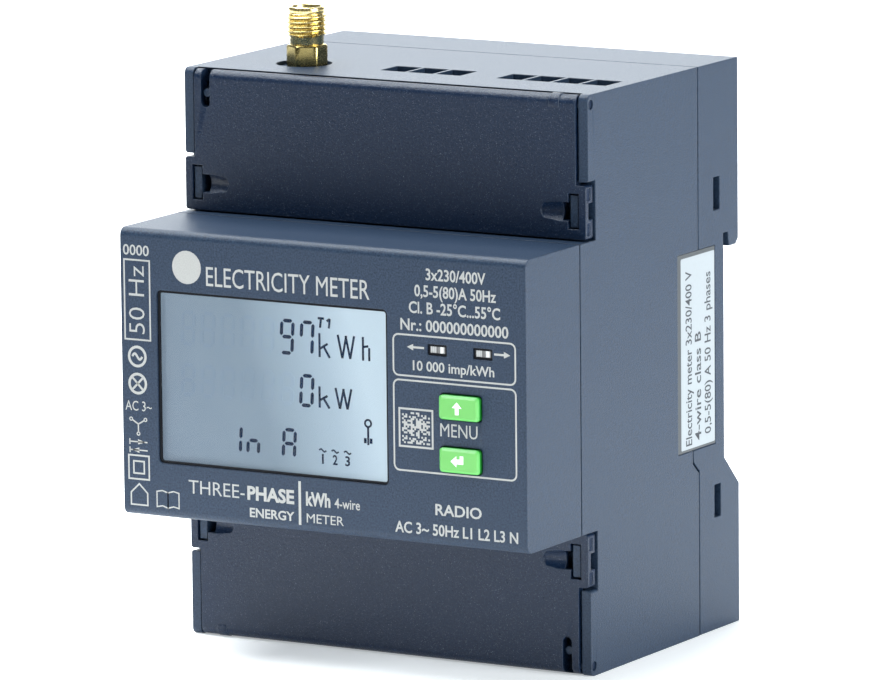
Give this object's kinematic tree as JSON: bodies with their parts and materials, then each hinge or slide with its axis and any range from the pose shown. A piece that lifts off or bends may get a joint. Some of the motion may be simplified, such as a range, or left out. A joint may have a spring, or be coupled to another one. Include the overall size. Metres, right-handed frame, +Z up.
{
  "type": "smart electric meter",
  "caption": "Rail-mounted three-phase electricity meter with a segment display, two keys, hinged terminal covers, screw clamps and an antenna jack.",
  "frame": {"origin": "middle of the flat that seats on the mounting rail", "axes": "+Z up, -Y towards the front and the reader, +X to the reader's right"},
  "size_m": [0.0718, 0.0688, 0.099],
  "materials": {
    "housing_plastic": "finely textured dark blue-grey moulding",
    "cover_plastic": "coarsely textured dark blue-grey moulding",
    "window": "clear polished window",
    "lcd": "segment display glass",
    "light_guide": "clear moulded light guide",
    "white_plastic": "white moulding",
    "button_green": "bright green rubbery key cap",
    "black_plastic": "black flame-retardant moulding",
    "rubber": "conductive silicone strip",
    "circuit_board": "green solder resist on glass-fibre board",
    "epoxy": "blue epoxy coating",
    "capacitor_sleeve": "shrunk plastic sleeve",
    "transformer_tape": "yellow polyester tape round a ferrite core",
    "steel": "zinc-plated steel",
    "tinned_copper": "bare copper bar",
    "gold_brass": "gold-plated brass",
    "ptfe": "white insulator",
    "lead_jacket": "brown coaxial jacket",
    "label_film": "satin polyester label"
  },
  "bodies": {
    "housing": {"rear_housing": "housing_plastic", "main_housing": "housing_plastic", "front_cover": "housing_plastic", "rail_latch_spring": "steel", "display_window": "window", "lcd_glass": "lcd", "lcd_backlight": "white_plastic", "lcd_frame": "white_plastic", "zebra_strips": "rubber", "display_board": "circuit_board", "button_switches": "steel", "pulse_light_guides": "light_guide", "pulse_leds": "epoxy", "metering_board": "circuit_board", "board_connector": "black_plastic", "board_screws": "steel", "supply_transformer": "transformer_tape", "filter_capacitors": "capacitor_sleeve", "varistors": "epoxy", "metering_chips": "black_plastic", "backup_battery": "steel", "radio_module": "steel", "antenna_connector": "gold_brass", "antenna_insulator": "ptfe", "antenna_contact": "gold_brass", "antenna_nut": "gold_brass", "antenna_lead": "lead_jacket", "neutral_link": "tinned_copper", "main_terminal_block": "black_plastic", "aux_terminal_block": "black_plastic", "aux_terminal_springs": "steel", "aux_terminal_contacts": "tinned_copper", "side_label": "label_film", "phase_busbar_1": "tinned_copper", "current_transformer_1": "black_plastic", "phase_busbar_2": "tinned_copper", "current_transformer_2": "black_plastic", "phase_busbar_3": "tinned_copper", "current_transformer_3": "black_plastic"},
    "upper_cover": {"upper_terminal_cover": "cover_plastic"},
    "lower_cover": {"lower_terminal_cover": "cover_plastic"},
    "latch": {"rail_latch": "cover_plastic"},
    "up_key": {"up_button": "button_green", "up_switch_plunger": "black_plastic"},
    "enter_key": {"enter_button": "button_green", "enter_switch_plunger": "black_plastic"},
    "screw_1": {"main_screw_1": "steel"},
    "clamp_1": {"main_clamp_1": "steel"},
    "screw_2": {"main_screw_2": "steel"},
    "clamp_2": {"main_clamp_2": "steel"},
    "screw_3": {"main_screw_3": "steel"},
    "clamp_3": {"main_clamp_3": "steel"},
    "screw_4": {"main_screw_4": "steel"},
    "clamp_4": {"main_clamp_4": "steel"},
    "screw_5": {"main_screw_5": "steel"},
    "clamp_5": {"main_clamp_5": "steel"},
    "screw_6": {"main_screw_6": "steel"},
    "clamp_6": {"main_clamp_6": "steel"},
    "screw_7": {"main_screw_7": "steel"},
    "clamp_7": {"main_clamp_7": "steel"}
  },
  "joints": [
    {"name": "upper_cover_hinge", "type": "hinge", "parent": "housing", "child": "upper_cover", "pos_m": [0, -0.0425, 0.04345], "axis": [-1, 0, 0], "range_deg": [0, 110]},
    {"name": "lower_cover_hinge", "type": "hinge", "parent": "housing", "child": "lower_cover", "pos_m": [0, -0.0425, -0.04345], "axis": [1, 0, 0], "range_deg": [0, 110]},
    {"name": "rail_latch_slide", "type": "slide", "parent": "housing", "child": "latch", "axis": [0, 0, -1], "range_m": [0, 0.003], "stiffness_N_per_m": 400, "springref_m": -0.003, "deforming": ["rail_latch_spring"]},
    {"name": "up_button_press", "type": "slide", "parent": "housing", "child": "up_key", "axis": [0, 1, 0], "range_m": [0, 0.00045], "stiffness_N_per_m": 1200, "springref_m": -0.0004},
    {"name": "enter_button_press", "type": "slide", "parent": "housing", "child": "enter_key", "axis": [0, 1, 0], "range_m": [0, 0.00045], "stiffness_N_per_m": 1200, "springref_m": -0.0004},
    {"name": "screw_1_turn", "type": "hinge", "parent": "housing", "child": "screw_1", "pos_m": [-0.0288, -0.033, -0.033], "axis": [0, 1, 0], "range_deg": [0, 2400]},
    {"name": "clamp_1_lift", "type": "slide", "parent": "housing", "child": "clamp_1", "axis": [0, -1, 0], "range_m": [0, 0.00533]},
    {"name": "screw_2_turn", "type": "hinge", "parent": "housing", "child": "screw_2", "pos_m": [-0.0192, -0.033, -0.033], "axis": [0, 1, 0], "range_deg": [0, 2400]},
    {"name": "clamp_2_lift", "type": "slide", "parent": "housing", "child": "clamp_2", "axis": [0, -1, 0], "range_m": [0, 0.00533]},
    {"name": "screw_3_turn", "type": "hinge", "parent": "housing", "child": "screw_3", "pos_m": [-0.0096, -0.033, -0.033], "axis": [0, 1, 0], "range_deg": [0, 2400]},
    {"name": "clamp_3_lift", "type": "slide", "parent": "housing", "child": "clamp_3", "axis": [0, -1, 0], "range_m": [0, 0.00533]},
    {"name": "screw_4_turn", "type": "hinge", "parent": "housing", "child": "screw_4", "pos_m": [0, -0.033, -0.033], "axis": [0, 1, 0], "range_deg": [0, 2400]},
    {"name": "clamp_4_lift", "type": "slide", "parent": "housing", "child": "clamp_4", "axis": [0, -1, 0], "range_m": [0, 0.00533]},
    {"name": "screw_5_turn", "type": "hinge", "parent": "housing", "child": "screw_5", "pos_m": [0.0096, -0.033, -0.033], "axis": [0, 1, 0], "range_deg": [0, 2400]},
    {"name": "clamp_5_lift", "type": "slide", "parent": "housing", "child": "clamp_5", "axis": [0, -1, 0], "range_m": [0, 0.00533]},
    {"name": "screw_6_turn", "type": "hinge", "parent": "housing", "child": "screw_6", "pos_m": [0.0192, -0.033, -0.033], "axis": [0, 1, 0], "range_deg": [0, 2400]},
    {"name": "clamp_6_lift", "type": "slide", "parent": "housing", "child": "clamp_6", "axis": [0, -1, 0], "range_m": [0, 0.00533]},
    {"name": "screw_7_turn", "type": "hinge", "parent": "housing", "child": "screw_7", "pos_m": [0.0288, -0.033, -0.033], "axis": [0, 1, 0], "range_deg": [0, 2400]},
    {"name": "clamp_7_lift", "type": "slide", "parent": "housing", "child": "clamp_7", "axis": [0, -1, 0], "range_m": [0, 0.00533]}
  ],
  "couplings": [
    {"joint": "screw_1_turn", "follows": "clamp_1_lift", "rad_per_m": 7854},
    {"joint": "screw_2_turn", "follows": "clamp_2_lift", "rad_per_m": 7854},
    {"joint": "screw_3_turn", "follows": "clamp_3_lift", "rad_per_m": 7854},
    {"joint": "screw_4_turn", "follows": "clamp_4_lift", "rad_per_m": 7854},
    {"joint": "screw_5_turn", "follows": "clamp_5_lift", "rad_per_m": 7854},
    {"joint": "screw_6_turn", "follows": "clamp_6_lift", "rad_per_m": 7854},
    {"joint": "screw_7_turn", "follows": "clamp_7_lift", "rad_per_m": 7854}
  ]
}
